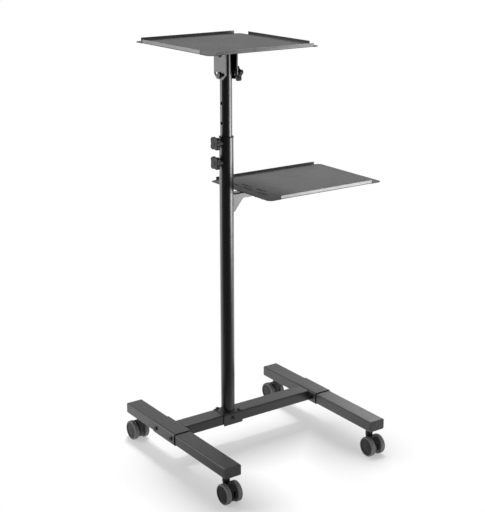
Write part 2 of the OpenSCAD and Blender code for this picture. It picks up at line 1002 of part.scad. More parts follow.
// The soft tyre: a ring with round shoulders that carries the disc in a recess.
module tyre(x, end, side) {
  color([0.62, 0.63, 0.64])
    at_wheel(x, end, side)
      rotate_extrude()
        difference() {
          translate([wheel_radius / 2, wheel_thickness / 2])
            rounded(wheel_radius, wheel_thickness, tyre_round);
          square([axle_diameter / 2 + pin_gap, 2 * wheel_thickness]);
          translate([0, wheel_thickness - disc_depth])
            square([disc_diameter / 2, disc_depth + 1]);
        }
}

// The dark disc that closes the wheel, dished toward its middle.
module disc(x, end, side) {
  color([0.22, 0.23, 0.24])
    at_wheel(x, end, side)
      translate([0, 0, wheel_thickness - disc_depth])
        rotate_extrude()
          difference() {
            polygon([[0, 0], [disc_radius, 0], [disc_radius, disc_depth], [disc_radius - disc_rim, disc_depth],
              [disc_radius - disc_rim - disc_dish, disc_depth - disc_dish],
              [axle_diameter, disc_depth - disc_dish / 3], [0, disc_depth - disc_dish / 3]]);
            translate([0, -1])
              square([axle_diameter / 2 + pin_gap, disc_bore_depth + 1]);
          }
}

module front_left_caster_housing() {
  caster_housing(left_leg_x, -1);
}

module front_left_outer_tyre() {
  tyre(left_leg_x, -1, -1);
}

module front_left_outer_disc() {
  disc(left_leg_x, -1, -1);
}

module front_left_inner_tyre() {
  tyre(left_leg_x, -1, 1);
}

module front_left_inner_disc() {
  disc(left_leg_x, -1, 1);
}

module front_right_caster_housing() {
  caster_housing(right_leg_x, -1);
}

module front_right_outer_tyre() {
  tyre(right_leg_x, -1, 1);
}

module front_right_outer_disc() {
  disc(right_leg_x, -1, 1);
}

module front_right_inner_tyre() {
  tyre(right_leg_x, -1, -1);
}

module front_right_inner_disc() {
  disc(right_leg_x, -1, -1);
}

module rear_left_caster_housing() {
  caster_housing(left_leg_x, 1);
}

module rear_left_outer_tyre() {
  tyre(left_leg_x, 1, -1);
}

module rear_left_outer_disc() {
  disc(left_leg_x, 1, -1);
}

module rear_left_inner_tyre() {
  tyre(left_leg_x, 1, 1);
}

module rear_left_inner_disc() {
  disc(left_leg_x, 1, 1);
}

module rear_right_caster_housing() {
  caster_housing(right_leg_x, 1);
}

module rear_right_outer_tyre() {
  tyre(right_leg_x, 1, 1);
}

module rear_right_outer_disc() {
  disc(right_leg_x, 1, 1);
}

module rear_right_inner_tyre() {
  tyre(right_leg_x, 1, -1);
}

module rear_right_inner_disc() {
  disc(right_leg_x, 1, -1);
}

left_leg();
right_leg();
leg_end_caps();
left_sleeve();
right_sleeve();
sleeve_bolts();
crossbeam();
saddle_bracket();
saddle_bolts();
caster_stems();
lower_tube();
tube_bush();
knob_bosses();
upper_lock_knob();
lower_lock_knob();
side_tray();
side_tray_bracket();
side_tray_screws();
upper_tube();
pivot_bolt_set();
tilt_clamp_bolt();
tilt_knob();
top_tray();
tilt_bracket();
top_tray_screws();
front_left_caster_housing();
front_left_outer_tyre();
front_left_outer_disc();
front_left_inner_tyre();
front_left_inner_disc();
front_right_caster_housing();
front_right_outer_tyre();
front_right_outer_disc();
front_right_inner_tyre();
front_right_inner_disc();
rear_left_caster_housing();
rear_left_outer_tyre();
rear_left_outer_disc();
rear_left_inner_tyre();
rear_left_inner_disc();
rear_right_caster_housing();
rear_right_outer_tyre();
rear_right_outer_disc();
rear_right_inner_tyre();
rear_right_inner_disc();
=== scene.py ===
"""Looks of the projector trolley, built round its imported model.

Lengths are in metres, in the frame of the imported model: the floor is Z = 0, X runs along
the crossbeam and -Y is the front. The model's nodes stay where they are and get worked-out
finishes; the mast's weld, the hub caps and the knob inserts are added as surfaces
computed with numpy.
"""

import logging
import math
from dataclasses import dataclass, field
from enum import Enum

import bpy
import numpy as np
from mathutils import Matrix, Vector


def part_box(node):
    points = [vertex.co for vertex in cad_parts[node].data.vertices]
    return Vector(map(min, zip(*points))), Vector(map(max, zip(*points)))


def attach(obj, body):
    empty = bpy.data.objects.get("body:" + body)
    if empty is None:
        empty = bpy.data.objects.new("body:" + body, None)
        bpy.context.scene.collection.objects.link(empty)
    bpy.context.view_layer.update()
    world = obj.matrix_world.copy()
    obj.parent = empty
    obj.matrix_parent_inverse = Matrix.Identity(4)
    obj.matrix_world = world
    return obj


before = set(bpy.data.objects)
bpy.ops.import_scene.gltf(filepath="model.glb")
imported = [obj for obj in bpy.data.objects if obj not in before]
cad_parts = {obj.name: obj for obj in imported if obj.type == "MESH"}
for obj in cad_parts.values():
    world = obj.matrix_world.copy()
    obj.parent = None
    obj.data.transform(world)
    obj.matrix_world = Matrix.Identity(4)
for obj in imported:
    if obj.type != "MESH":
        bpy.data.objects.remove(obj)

LOG = logging.getLogger("trolley")
IMAGE_SIZE = (485, 512)
WHITE = (1.0, 1.0, 1.0, 1.0)
STEP = 0.0004

Colour = tuple[float, float, float]
Point = tuple[float, float, float]
Socket = bpy.types.NodeSocket


class Coat(Enum):
    """The finishes that the trolley's pieces can have."""

    BASE_POWDER = "base_powder"
    LEG_POWDER = "leg_powder"
    BEAM_POWDER = "beam_powder"
    MAST_POWDER = "mast_powder"
    TOP_TRAY_POWDER = "top_tray_powder"
    SIDE_TRAY_POWDER = "side_tray_powder"
    ARM_POWDER = "arm_powder"
    CAP = "cap"
    PLASTIC = "plastic"
    OXIDE = "oxide"
    ZINC = "zinc"


class Weave:
    """A small builder for the node tree of one material."""

    def __init__(self, name: str) -> None:
        """Makes an empty material with its output and principled shader.

        Args:
            name: the material's name.
        """
        self.material = bpy.data.materials.new(name)
        self.material.use_nodes = True
        self.tree = self.material.node_tree
        self.tree.nodes.clear()
        self.output = self.tree.nodes.new("ShaderNodeOutputMaterial")
        self.shader = self.tree.nodes.new("ShaderNodeBsdfPrincipled")
        self.tree.links.new(self.shader.outputs["BSDF"], self.output.inputs["Surface"])
        self.coordinates = self.tree.nodes.new("ShaderNodeTexCoord").outputs["Object"]

    def link(self, source: Socket, node: bpy.types.Node, name: str) -> None:
        """Joins a socket to a named input of a node.

        Args:
            source: the socket that gives the value.
            node: the node that takes it.
            name: the name of the node's input.
        """
        self.tree.links.new(source, node.inputs[name])

    def placed(self, centre: Point, stretch: Point = (1.0, 1.0, 1.0)) -> Socket:
        """Object coordinates measured from a centre, then stretched.

        Args:
            centre: the point that becomes the origin.
            stretch: the factor for each axis.

        Returns:
            The socket with the new coordinates.
        """
        mapping = self.tree.nodes.new("ShaderNodeMapping")
        mapping.inputs["Location"].default_value = tuple(-c * s for c, s in zip(centre, stretch))
        mapping.inputs["Scale"].default_value = stretch
        self.link(self.coordinates, mapping, "Vector")
        return mapping.outputs["Vector"]

    def noise(self, size: float, detail: float = 3.0,
              at: Socket | None = None) -> Socket:
        """Cloudy noise whose lumps are about the given size.

        Args:
            size: the width of a lump in metres.
            detail: how many finer layers it has.
            at: the coordinates, or None for the plain object ones.

        Returns:
            The socket with values around a half.
        """
        node = self.tree.nodes.new("ShaderNodeTexNoise")
        node.inputs["Scale"].default_value = 1.0 / size
        node.inputs["Detail"].default_value = detail
        self.link(at or self.coordinates, node, "Vector")
        return node.outputs["Fac"]

    def cells(self, size: float) -> Socket:
        """Distance to the nearest of scattered points.

        Args:
            size: how far apart the points lie, about.

        Returns:
            The socket with the distance.
        """
        node = self.tree.nodes.new("ShaderNodeTexVoronoi")
        node.inputs["Scale"].default_value = 1.0 / size
        self.link(self.coordinates, node, "Vector")
        return node.outputs["Distance"]

    def rings(self, centre: Point, width: float) -> Socket:
        """Rings about an axle along X.

        Args:
            centre: a point on the axle.
            width: how far apart the rings lie.

        Returns:
            The socket, which rises and falls from 0 to 1 across each ring.
        """
        node = self.tree.nodes.new("ShaderNodeTexWave")
        node.wave_type = "RINGS"
        node.rings_direction = "X"
        node.inputs["Scale"].default_value = 1.0 / width / math.pi
        node.inputs["Distortion"].default_value = 0.4
        self.link(self.placed(centre), node, "Vector")
        return node.outputs["Fac"]

    def spread(self, value: Socket, low: float, high: float,
               start: float = 0.3, end: float = 0.7) -> Socket:
        """Maps values from start to end onto low to high.

        Args:
            value: the socket to map.
            low: the result at start and below.
            high: the result at end and above.
            start: the lower edge of the range that counts.
            end: the upper edge of the range that counts.

        Returns:
            The mapped socket.
        """
        node = self.tree.nodes.new("ShaderNodeMapRange")
        for name, number in (("From Min", start), ("From Max", end),
                             ("To Min", low), ("To Max", high)):
            node.inputs[name].default_value = number
        self.link(value, node, "Value")
        return node.outputs["Result"]

    def tones(self, value: Socket, stops: list[tuple[float, Colour]]) -> Socket:
        """A colour ramp over a value.

        Args:
            value: the socket that picks the colour.
            stops: places from 0 to 1 with their colours.

        Returns:
            The colour socket.
        """
        node = self.tree.nodes.new("ShaderNodeValToRGB")
        elements = node.color_ramp.elements
        while len(elements) < len(stops):
            elements.new(0.5)
        for element, (place, colour) in zip(elements, stops):
            element.position = place
            element.color = (*colour, 1.0)
        self.link(value, node, "Fac")
        return node.outputs["Color"]

    def reckon(self, operation: str, first: Socket,
               second: Socket | float) -> Socket:
        """One step of arithmetic on a socket and a socket or number.

        Args:
            operation: the name of the step, such as SUBTRACT.
            first: the first value.
            second: the second value.

        Returns:
            The socket with the result.
        """
        node = self.tree.nodes.new("ShaderNodeMath")
        node.operation = operation
        self.tree.links.new(first, node.inputs[0])
        if isinstance(second, (int, float)):
            node.inputs[1].default_value = second
        else:
            self.tree.links.new(second, node.inputs[1])
        return node.outputs[0]

    def band(self, axis: str, middle: float, half: float, reach: float) -> Socket:
        """Two soft narrow bands, at a distance on both sides of a middle along one axis.

        Args:
            axis: X, Y or Z.
            middle: the coordinate that lies midway between the bands.
            half: the distance of each band from the middle.
            reach: half the width of a band.

        Returns:
            The socket, 1 on the bands and 0 elsewhere.
        """
        split = self.tree.nodes.new("ShaderNodeSeparateXYZ")
        self.link(self.coordinates, split, "Vector")
        away = self.reckon("ABSOLUTE", self.reckon("SUBTRACT", split.outputs[axis], middle), 0.0)
        off = self.reckon("ABSOLUTE", self.reckon("SUBTRACT", away, half), 0.0)
        return self.spread(off, 1.0, 0.0, reach * 0.6, reach)

    def height(self, level: float) -> Socket:
        """A step along Z.

        Args:
            level: the height at which it starts to rise.

        Returns:
            The socket, 0 up to the level and 1 from a short step above it.
        """
        split = self.tree.nodes.new("ShaderNodeSeparateXYZ")
        self.link(self.coordinates, split, "Vector")
        return self.spread(split.outputs["Z"], 0.0, 1.0, level, level + STEP)

    def blend(self, factor: Socket, first: Socket, second: Colour) -> Socket:
        """Mixes a colour socket with a fixed colour.

        Args:
            factor: the share of the fixed colour.
            first: the colour socket.
            second: the fixed colour.

        Returns:
            The socket with the mixture.
        """
        node = self.tree.nodes.new("ShaderNodeMix")
        node.data_type = "RGBA"
        self.tree.links.new(factor, node.inputs[0])
        self.tree.links.new(first, node.inputs[6])
        node.inputs[7].default_value = (*second, 1.0)
        return node.outputs[2]

    def bump(self, heights: list[tuple[Socket, float]]) -> None:
        """Chains bumps into the shader's normal.

        Args:
            heights: sockets with their heights in metres, the coarsest first.
        """
        before = None
        for height, distance in heights:
            node = self.tree.nodes.new("ShaderNodeBump")
            node.inputs["Distance"].default_value = distance
            node.inputs["Strength"].default_value = 1.0
            self.link(height, node, "Height")
            if before is not None:
                self.link(before, node, "Normal")
            before = node.outputs["Normal"]
        if before is not None:
            self.link(before, self.shader, "Normal")

    def set(self, **sockets: float) -> None:
        """Writes plain numbers on the shader's own sockets.

        Args:
            sockets: the numbers by the sockets' names, with _ for each space.
        """
        for name, number in sockets.items():
            self.shader.inputs[name.replace("_", " ")].default_value = number


def shade(colour: Colour, factor: float) -> Colour:
    """The colour times a factor.

    Args:
        colour: the colour.
        factor: what each of its parts is multiplied by.

    Returns:
        The new colour, with no part over 1.
    """
    return tuple(min(1.0, c * factor) for c in colour)


@dataclass(frozen=True)
class PowderCoat:
    """Satin powder coat on steel: orange peel, cloudy sheen, faint dust and scuffs.

    A seam here is painted shade: a dark line painted beside a clamped edge, standing in for the
    shadow in the gap between the parts. It holds its axis, the middle between the two edges, and
    their distance from that middle. A tray's level sheet is worn and dusty up to a height, and its
    lips above that stay smooth.
    """

    name: str
    colour: Colour
    roughness: float = 0.36
    peel: float = 0.0011
    coat: float = 1.0
    shade_line: tuple[str, float, float] | None = None
    dusty_below: float | None = None
    dust_sheen: float = 0.1
    dust_roughness: float = 0.35
    cloud: float = 0.09
    scuff: float = 0.012
    # Painted shade: the colour, half-width and distance beyond the clamped edge of the dark band
    # that stands in for the shadow in the gap.
    painted_shade: Colour = (0.002, 0.002, 0.002)
    painted_shade_reach: float = 0.0019
    painted_shade_offset: float = 0.0016

    def material(self) -> bpy.types.Material:
        """Builds the material.

        Returns:
            The finished material.
        """
        w = Weave(self.name)
        cloud = w.noise(self.cloud, 4.0)
        tone = w.tones(cloud, [(0.3, shade(self.colour, 0.9)), (0.7, shade(self.colour, 1.1))])
        along = w.placed((0.0, 0.0, 0.0), (1.0, 0.25, 1.0))
        scuff = w.spread(w.noise(self.scuff, 6.0, along), 0.0, 0.25, 0.66, 0.8)
        tone = w.blend(scuff, tone, shade(self.colour, 1.8))
        if self.shade_line is not None:
            # Painted shade: a dark band beside each clamped edge, where the gap between the parts
            # lies in shadow.
            axis, middle, half = self.shade_line
            line = w.band(axis, middle, half + self.painted_shade_offset, self.painted_shade_reach)
            tone = w.blend(line, tone, self.painted_shade)
        w.link(tone, w.shader, "Base Color")
        rough = w.spread(w.noise(0.02, 4.0), self.roughness - 0.03, self.roughness + 0.05)
        w.set(IOR=1.5, Coat_Weight=self.coat, Coat_Roughness=0.3)
        if self.dusty_below is not None:
            lip = w.height(self.dusty_below)
            rough = w.reckon("ADD", rough, w.spread(lip, self.dust_roughness, 0.0, 0.0, 1.0))
            w.link(w.spread(lip, 0.0, self.coat, 0.0, 1.0), w.shader, "Coat Weight")
            w.link(w.spread(lip, self.dust_sheen, 0.5, 0.0, 1.0), w.shader, "Specular IOR Level")
        w.link(rough, w.shader, "Roughness")
        w.bump([(w.noise(self.peel * 4, 2.0), 0.000012),
                (w.noise(self.peel, 2.0), 0.00001)])
        return w.material


@dataclass(frozen=True)
class MouldedPlastic:
    """Matt moulded plastic with a spark-eroded grain."""

    name: str
    colour: Colour
    roughness: float = 0.5

    def material(self) -> bpy.types.Material:
        """Builds the material.

        Returns:
            The finished material.
        """
        w = Weave(self.name)
        tone = w.tones(w.noise(0.02, 5.0),
                       [(0.25, shade(self.colour, 0.8)), (0.75, shade(self.colour, 1.25))])
        w.link(tone, w.shader, "Base Color")
        rough = w.spread(w.noise(0.004, 3.0), self.roughness - 0.07, self.roughness + 0.07)
        w.link(rough, w.shader, "Roughness")
        w.bump([(w.cells(0.0009), 0.00004), (w.noise(0.0005, 2.0), 0.00002)])
        w.set(IOR=1.49)
        return w.material


@dataclass(frozen=True)
class TyreRubber:
    """Soft grey tyre with scuffs and turning marks about its axle."""

    name: str
    axle: Point
    colour: Colour = (0.2, 0.2, 0.205)
    dirt: Colour = (0.12, 0.12, 0.12)

    def material(self) -> bpy.types.Material:
        """Builds the material.

        Returns:
            The finished material.
        """
        w = Weave(self.name)
        tone = w.tones(w.noise(0.012, 5.0),
                       [(0.3, shade(self.colour, 0.9)), (0.7, shade(self.colour, 1.06))])
        specks = w.noise(0.003, 6.0, w.placed(self.axle, (1.0, 0.4, 0.4)))
        dirt = w.spread(specks, 0.0, 0.5, 0.62, 0.8)
        w.link(w.blend(dirt, tone, self.dirt), w.shader, "Base Color")
        w.link(w.spread(w.noise(0.006, 3.0), 0.5, 0.66), w.shader, "Roughness")
        w.bump([(w.rings(self.axle, 0.0012), 0.00004), (w.noise(0.0006, 2.0), 0.00003)])
        w.set(IOR=1.5)
        return w.material


@dataclass(frozen=True)
class DiscPlastic:
    """Dark moulded disc with fine rings about its axle."""

    name: str
    axle: Point
    colour: Colour = (0.024, 0.025, 0.027)

    def material(self) -> bpy.types.Material:
        """Builds the material.

        Returns:
            The finished material.
        """
        w = Weave(self.name)
        tone = w.tones(w.noise(0.01, 5.0),
                       [(0.3, shade(self.colour, 0.85)), (0.7, shade(self.colour, 1.2))])
        w.link(tone, w.shader, "Base Color")
        w.link(w.spread(w.noise(0.004, 4.0), 0.34, 0.5), w.shader, "Roughness")
        w.bump([(w.rings(self.axle, 0.0016), 0.00005), (w.noise(0.0005, 2.0), 0.00002)])
        w.set(IOR=1.49, Specular_IOR_Level=0.3)
        return w.material


@dataclass(frozen=True)
class MachinedSteel:
    """Turned steel, plated or blackened, with fine marks along Z and uneven sheen."""

    name: str
    colour: Colour
    roughness: float

    def material(self) -> bpy.types.Material:
        """Builds the material.

        Returns:
            The finished material.
        """
        w = Weave(self.name)
        tone = w.tones(w.noise(0.008, 5.0),
                       [(0.3, shade(self.colour, 0.85)), (0.7, shade(self.colour, 1.15))])
        w.link(tone, w.shader, "Base Color")
        streak = w.noise(0.0016, 4.0, w.placed((0.0, 0.0, 0.0), (1.0, 1.0, 6.0)))
        rough = w.spread(streak, self.roughness - 0.08, self.roughness + 0.12)
        w.link(rough, w.shader, "Roughness")
        w.bump([(streak, 0.00003), (w.noise(0.0004, 2.0), 0.00001)])
        w.set(Metallic=1.0)
        return w.material


BASE_TONE = (0.022, 0.022, 0.023)
TRAY_TONE = (0.06, 0.06, 0.062)
# Where the painted shade lines lie: beside the sleeves' ends on the legs and beside the saddle's
# ends on the crossbeam.
SLEEVE_SHADE_LINE = ("Y", 0.046, 0.055)
SADDLE_SHADE_LINE = ("X", -0.10375, 0.031)
FINISHES = {
    Coat.BASE_POWDER: PowderCoat("base_powder_coat", BASE_TONE, 0.4, coat=0.65),
    Coat.LEG_POWDER: PowderCoat("leg_powder_coat", BASE_TONE, 0.4, coat=0.65, shade_line=SLEEVE_SHADE_LINE),
    Coat.BEAM_POWDER: PowderCoat("beam_powder_coat", BASE_TONE, 0.4, coat=0.65, shade_line=SADDLE_SHADE_LINE),
    Coat.MAST_POWDER: PowderCoat("mast_powder_coat", (0.008, 0.008, 0.0084), 0.34),
    Coat.TOP_TRAY_POWDER: PowderCoat("top_tray_powder_coat", TRAY_TONE, 0.3, dusty_below=1.12765),
    Coat.SIDE_TRAY_POWDER: PowderCoat("side_tray_powder_coat", TRAY_TONE, 0.3,
                                      dusty_below=0.73465, dust_sheen=0.34),
    Coat.ARM_POWDER: PowderCoat("arm_powder_coat", (0.018, 0.018, 0.0185), 0.32),
    Coat.CAP: MouldedPlastic("cap_moulding", (0.07, 0.07, 0.071)),
    Coat.PLASTIC: MouldedPlastic("black_moulding", (0.016, 0.016, 0.017)),
    Coat.OXIDE: MachinedSteel("black_oxide_steel", (0.08, 0.08, 0.083), 0.36),
    Coat.ZINC: MachinedSteel("zinc_plated_steel", (0.5, 0.5, 0.49), 0.3),
}


def surface(name: str, grid: np.ndarray, closed_u: bool, closed_v: bool) -> bpy.types.Object:
    """Makes a mesh object from a grid of points.

    Args:
        name: the object's name.
        grid: points as an array of rows, columns and 3.
        closed_u: whether the last row joins the first.
        closed_v: whether the last column joins the first.

    Returns:
        The object, at the origin, smooth, linked to the scene.
    """
    rows, columns = grid.shape[:2]
    index = np.arange(rows * columns).reshape(rows, columns)
    below = np.roll(index, -1, axis=0)[: rows if closed_u else rows - 1]
    index = index[: below.shape[0]]
    right_index, right_below = np.roll(index, -1, axis=1), np.roll(below, -1, axis=1)
    quads = np.stack([index, below, right_below, right_index], axis=-1)
    if not closed_v:
        quads = quads[:, :-1]
    mesh = bpy.data.meshes.new(name)
    mesh.from_pydata(grid.reshape(-1, 3).tolist(), [], quads.reshape(-1, 4).tolist())
    mesh.polygons.foreach_set("use_smooth", np.ones(len(mesh.polygons), bool))
    mesh.update()
    made = bpy.data.objects.new(name, mesh)
    bpy.context.scene.collection.objects.link(made)
    return made


def dress(piece: bpy.types.Object, material: bpy.types.Material) -> None:
    """Gives every face of a piece one material.

    Args:
        piece: the object.
        material: its new material.
    """
    piece.data.materials.clear()
    piece.data.materials.append(material)


@dataclass
class Workshop:
    """Holds the materials that are shared, and adds finished pieces to the model."""

    materials: dict[Coat, bpy.types.Material] = field(default_factory=dict)

    def coat(self, coat: Coat) -> bpy.types.Material:
        """The material of a finish, made the first time it is asked for.

        Args:
            coat: the finish.

        Returns:
            The shared material.
        """
        if coat not in self.materials:
            self.materials[coat] = FINISHES[coat].material()
        return self.materials[coat]

    def dress_nodes(self, coat: Coat, *nodes: str) -> None:
        """Gives model nodes a shared finish.

        Args:
            coat: the finish.
            nodes: the names of the nodes.
        """
        for node in nodes:
            dress(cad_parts[node], self.coat(coat))
            LOG.info("%s: %s", node, coat.value)

    def add(self, piece: bpy.types.Object, coat: Coat, body: str, slot: str) -> None:
        """Finishes a new piece and lets it ride on a body.

        Args:
            piece: the new object.
            coat: its finish.
            body: the body that it moves with.
            slot: the name of a material slot for it; not used.
        """
        dress(piece, self.coat(coat))
        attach(piece, body)
        LOG.info("%s: new, %d faces, on %s", piece.name, len(piece.data.polygons), body)


def bead(path: np.ndarray, radius: float, ripple: float, pitch: float,
         sides: int = 12) -> np.ndarray:
    """A weld bead along a closed level path.

    The bead is a tube round the path. At each point its radius swells and shrinks with the
    sine of the way gone divided by the pitch, as overlapping weld pools do.

    Args:
        path: points of the closed path as an array of n and 3.
        radius: the mean radius of the bead.
        ripple: how much the radius changes.
        pitch: the length of one weld pool.
        sides: the number of points round the bead.

    Returns:
        A grid of n, sides and 3.
    """
    ahead = np.roll(path, -1, axis=0) - np.roll(path, 1, axis=0)
    along = ahead / np.linalg.norm(ahead, axis=1, keepdims=True)
    way = np.concatenate([[0.0], np.cumsum(np.linalg.norm(np.diff(path, axis=0), axis=1))])
    side = np.cross(along, np.array([0.0, 0.0, 1.0]))
    side /= np.linalg.norm(side, axis=1, keepdims=True)
    lift = np.cross(side, along)
    turn = np.linspace(0, 2 * math.pi, sides, endpoint=False)
    swell = radius + ripple * np.sin(2 * math.pi * way / pitch)
    across, upward = np.cos(turn)[None, :, None], np.sin(turn)[None, :, None]
    ring = side[:, None] * across + lift[:, None] * upward
    return path[:, None] + ring * swell[:, None, None]


def dome(centre: Point, axis: float, radius: float, height: float,
         rings: int = 12, sides: int = 40) -> np.ndarray:
    """A shallow cap that faces along X.

    The height falls from the middle to the rim with the square root of one minus the
    fourth power of the radius, which gives a flatter crown than an ellipse.

    Args:
        centre: the middle of the cap's foot.
        axis: 1 to face +X, -1 to face -X.
        radius: the radius of the foot.
        height: the height of the crown.
        rings: the number of steps from the middle to the rim.
        sides: the number of points round the cap.

    Returns:
        A grid of rings, sides and 3, with its pole nearly closed.
    """
    share = np.linspace(0.0, 1.0, rings)
    turn = np.linspace(0, 2 * math.pi, sides, endpoint=False) * axis
    r, a = np.meshgrid(radius * share, turn, indexing="ij")
    h = height * np.sqrt(np.clip(1.0 - share**4, 0.0, 1.0))
    x = centre[0] + axis * np.broadcast_to(h[:, None], r.shape)
    return np.stack([x, centre[1] + r * np.cos(a), centre[2] + r * np.sin(a)], axis=-1)


@dataclass
class Base:
    """Legs, sleeves, crossbeam and saddle, with the weld at the mast's foot."""

    shop: Workshop
    powder: tuple[str, ...] = ("left_sleeve", "right_sleeve", "saddle_bracket")
    plastic: tuple[str, ...] = ("leg_end_caps",)
    oxide: tuple[str, ...] = ("sleeve_bolts", "saddle_bolts")
    weld_radius: float = 0.0019
    weld_ripple: float = 0.0003
    weld_pitch: float = 0.0042
    weld_gap: float = 0.0005
    weld_rise: float = 0.0008

    def build(self) -> None:
        """Dresses the base and adds its weld."""
        self.shop.dress_nodes(Coat.BASE_POWDER, *self.powder)
        self.shop.dress_nodes(Coat.LEG_POWDER, "left_leg", "right_leg")
        self.shop.dress_nodes(Coat.BEAM_POWDER, "crossbeam")
        self.shop.dress_nodes(Coat.CAP, *self.plastic)
        self.shop.dress_nodes(Coat.OXIDE, *self.oxide)
        self.shop.dress_nodes(Coat.ZINC, "caster_stems")
        self.foot_weld()

    def foot_weld(self) -> None:
        """Adds the bead round the foot of the lower tube: a circle just outside the tube."""
        low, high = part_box("lower_tube")
        turn = np.linspace(0, 2 * math.pi, 240, endpoint=False)
        radius = (high.x - low.x) / 2 + self.weld_gap
        middle = (low + high) / 2
        path = np.stack([middle.x + radius * np.cos(turn), middle.y + radius * np.sin(turn),
                         np.full_like(turn, low.z + self.weld_rise)], axis=-1)
        grid = bead(path, self.weld_radius, self.weld_ripple, self.weld_pitch)
        self.shop.add(surface("mast_foot_weld", grid, True, True),
                      Coat.MAST_POWDER, "base", "powder_coat")


@dataclass
class Mast:
    """The two tubes, their bush, the knobs and bosses."""

    shop: Workshop
    knobs: dict[str, str] = field(default_factory=lambda: {
        "upper_lock_knob": "upper_knob",
        "lower_lock_knob": "lower_knob",
        "tilt_knob": "clamp_knob"})
    insert_radius: float = 0.0058
    insert_height: float = 0.001
    insert_sink: float = 0.0002

    def build(self) -> None:
        """Dresses the mast and gives each knob a domed insert."""
        self.shop.dress_nodes(Coat.MAST_POWDER, "lower_tube", "upper_tube")
        self.shop.dress_nodes(Coat.PLASTIC, "tube_bush", "knob_bosses", *self.knobs)
        self.shop.dress_nodes(Coat.OXIDE, "pivot_bolt_set", "tilt_clamp_bolt")
        for knob, body in self.knobs.items():
            self.insert(knob, body)

    def insert(self, knob: str, body: str) -> None:
        """Adds the domed insert in the middle of a knob's face.

        Args:
            knob: the knob's node.
            body: the body that it moves with.
        """
        low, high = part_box(knob)
        facing = 1.0 if knob == "tilt_knob" else -1.0
        face = high.x if facing > 0 else low.x
        centre = (face - facing * self.insert_sink, (low.y + high.y) / 2, (low.z + high.z) / 2)
        grid = dome(centre, facing, self.insert_radius, self.insert_height)
        self.shop.add(surface(knob + "_insert", grid, False, True),
                      Coat.PLASTIC, body, "black_plastic")


@dataclass
class Trays:
    """Both trays with their brackets and screws."""

    shop: Workshop

    def build(self) -> None:
        """Dresses the trays and brackets."""
        self.shop.dress_nodes(Coat.TOP_TRAY_POWDER, "top_tray")
        self.shop.dress_nodes(Coat.SIDE_TRAY_POWDER, "side_tray")
        self.shop.dress_nodes(Coat.ARM_POWDER, "side_tray_bracket")
        self.shop.dress_nodes(Coat.MAST_POWDER, "tilt_bracket")
        self.shop.dress_nodes(Coat.OXIDE, "top_tray_screws", "side_tray_screws")


@dataclass
class Caster:
    """One twin-wheel caster."""

    shop: Workshop
    place: str
    cap_radius: float = 0.0052
    cap_height: float = 0.0005
    cap_sink: float = 0.0006

    def build(self) -> None:
        """Dresses the housing and both wheels, and adds their hub caps."""
        self.shop.dress_nodes(Coat.PLASTIC, f"{self.place}_caster_housing")
        for side in ("outer", "inner"):
            self.wheel(side)

    def wheel(self, side: str) -> None:
        """Dresses one wheel about its own axle.

        Args:
            side: outer or inner.
        """
        tyre, disc = f"{self.place}_{side}_tyre", f"{self.place}_{side}_disc"
        low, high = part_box(tyre)
        axle = tuple((low + high) / 2)
        dress(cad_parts[tyre], TyreRubber(tyre + "_rubber", axle).material())
        dress(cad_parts[disc], DiscPlastic(disc + "_plastic", axle).material())
        disc_low, disc_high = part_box(disc)
        facing = 1.0 if (disc_low.x + disc_high.x) / 2 > axle[0] else -1.0
        face = disc_high.x if facing > 0 else disc_low.x
        centre = (face - facing * self.cap_sink, axle[1], axle[2])
        grid = dome(centre, facing, self.cap_radius, self.cap_height)
        self.shop.add(surface(f"{self.place}_{side}_hub_cap", grid, False, True),
                      Coat.PLASTIC, f"{self.place}_{side}", "disc_plastic")
        LOG.info("%s and %s dressed", tyre, disc)


@dataclass(frozen=True)
class Softbox:
    """A rectangular lamp that looks at the trolley's middle line.

    A lamp that looks a little upwards with a narrow cone shows in the faces that stand
    upright and leaves the level ones beneath it dark.
    """

    name: str
    place: Point
    size: tuple[float, float]
    watts: float
    aim: float = 0.6
    cone: float = 180.0

    def build(self) -> None:
        """Adds the lamp to the scene."""
        data = bpy.data.lights.new(self.name, "AREA")
        data.shape = "RECTANGLE"
        data.size, data.size_y = self.size
        data.energy = self.watts
        data.spread = math.radians(self.cone)
        made = bpy.data.objects.new(self.name, data)
        made.location = self.place
        middle = Vector((0.0, 0.0, self.aim))
        made.rotation_euler = (middle - made.location).to_track_quat("-Z", "Y").to_euler()
        bpy.context.scene.collection.objects.link(made)


SOFTBOXES = (
    Softbox("left_softbox", (-1.7, 1.5, 0.95), (1.1, 1.7), 13.0),
    Softbox("right_softbox", (1.35, -1.15, 0.85), (0.9, 1.5), 4.3, aim=1.39, cone=60.0),
    Softbox("rear_softbox", (1.0, 1.4, 2.5), (1.2, 1.2), 12.0),
    Softbox("top_softbox", (0.4, 0.7, 4.2), (0.9, 0.9), 135.0),
    Softbox("low_softbox", (0.75, -1.0, 0.35), (0.4, 0.3), 0.2, aim=0.73, cone=60.0),
    Softbox("far_softbox", (2.0, 1.6, 0.95), (0.7, 0.6), 0.45, aim=0.1, cone=60.0),
)


